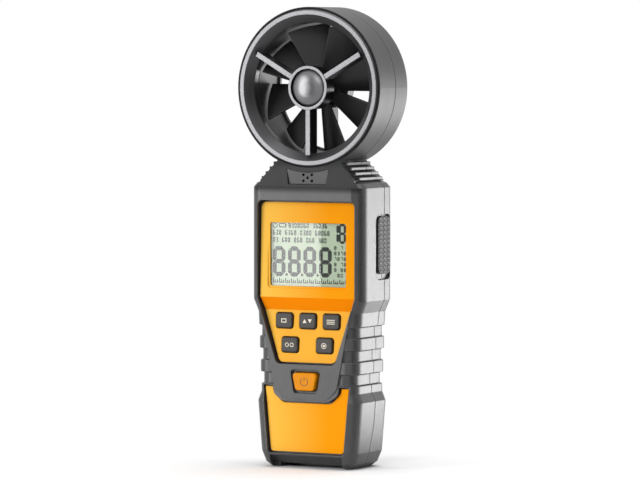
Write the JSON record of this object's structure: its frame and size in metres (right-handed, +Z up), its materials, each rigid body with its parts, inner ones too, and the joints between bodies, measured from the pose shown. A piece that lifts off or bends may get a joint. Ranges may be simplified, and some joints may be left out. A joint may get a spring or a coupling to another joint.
{
  "type": "handheld vane anemometer",
  "caption": "Handheld wind and air-flow meter: a spinning vane in a guarded ring on a neck above a ribbed body with display, keys and battery cover.",
  "frame": {"origin": "centre of the footprint, on the surface that the feet stand on", "axes": "+Z up along the body to the ring, the display faces -Y, +X to the right seen from the front"},
  "size_m": [0.0704, 0.0317, 0.2011],
  "materials": {
    "grey_housing": "fine satin grain, slightly lighter on the rubbed edges",
    "orange_panel": "smooth orange moulding with soft gloss",
    "orange_key": "smooth orange key with an engraved symbol",
    "clear_lens": "clear flat lens",
    "display_glass": "pale green-grey display with dark segments",
    "backlight": "milky light guide",
    "rubber_strip": "soft dark rubber",
    "circuit_board": "green solder mask",
    "chip_black": "black moulded package",
    "steel": "zinc-plated steel",
    "grey_guard": "satin grey moulding with a brighter rim",
    "satin_cap": "satin silver-grey lacquer",
    "bearing_brass": "turned brass",
    "vane_black": "thin black blades",
    "magnet": "sintered ferrite ring",
    "vent_grey": "fine satin grain",
    "battery_case": "lacquered steel jacket",
    "grip_rubber": "soft rubber with rows of dimples",
    "key_black": "black silicone keys with pale legends"
  },
  "bodies": {
    "housing": {"front_shell": "grey_housing", "rear_shell": "grey_housing", "upper_panel": "orange_panel", "lower_panel": "orange_panel", "display_window": "clear_lens", "display_glass": "display_glass", "backlight": "backlight", "contact_strip": "rubber_strip", "key_mat": "rubber_strip", "key_board": "circuit_board", "main_board": "circuit_board", "board_link": "chip_black", "board_chips": "chip_black", "buzzer": "chip_black", "board_screws": "steel", "front_guard": "grey_guard", "hub_cap": "satin_cap", "rear_guard": "grey_guard", "front_bearing": "bearing_brass", "rear_bearing": "bearing_brass", "pickup_sensor": "chip_black", "sensor_vent": "vent_grey", "air_sensor": "chip_black", "battery": "battery_case", "battery_connector": "chip_black", "shell_screws": "steel", "tripod_bush": "bearing_brass", "left_grip": "grip_rubber", "right_grip": "grip_rubber"},
    "vane": {"vane_wheel": "vane_black", "vane_magnet": "magnet", "vane_shaft": "steel"},
    "cover": {"battery_cover": "grey_housing", "battery_pad": "rubber_strip", "cover_screw": "steel"},
    "key_upper_left": {"key_upper_left": "key_black"},
    "key_upper_middle": {"key_upper_middle": "key_black"},
    "key_upper_right": {"key_upper_right": "key_black"},
    "key_lower_left": {"key_lower_left": "key_black"},
    "key_lower_right": {"key_lower_right": "key_black"},
    "power_key": {"power_key": "orange_key"}
  },
  "joints": [
    {"name": "vane_spin", "type": "hinge", "parent": "housing", "child": "vane", "pos_m": [0, 0, 0.16586], "axis": [0, 1, 0], "continuous": true},
    {"name": "cover_swing", "type": "hinge", "parent": "housing", "child": "cover", "pos_m": [0, 0.0153, 0.066], "axis": [1, 0, 0], "range_deg": [0, 60]},
    {"name": "key_upper_left_press", "type": "slide", "parent": "housing", "child": "key_upper_left", "axis": [0, 1, 0], "range_m": [0, 0.0007], "stiffness_N_per_m": 1500},
    {"name": "key_upper_middle_press", "type": "slide", "parent": "housing", "child": "key_upper_middle", "axis": [0, 1, 0], "range_m": [0, 0.0007], "stiffness_N_per_m": 1500},
    {"name": "key_upper_right_press", "type": "slide", "parent": "housing", "child": "key_upper_right", "axis": [0, 1, 0], "range_m": [0, 0.0007], "stiffness_N_per_m": 1500},
    {"name": "key_lower_left_press", "type": "slide", "parent": "housing", "child": "key_lower_left", "axis": [0, 1, 0], "range_m": [0, 0.0007], "stiffness_N_per_m": 1500},
    {"name": "key_lower_right_press", "type": "slide", "parent": "housing", "child": "key_lower_right", "axis": [0, 1, 0], "range_m": [0, 0.0007], "stiffness_N_per_m": 1500},
    {"name": "power_key_press", "type": "slide", "parent": "housing", "child": "power_key", "axis": [0, 1, 0], "range_m": [0, 0.0007], "stiffness_N_per_m": 1500}
  ]
}
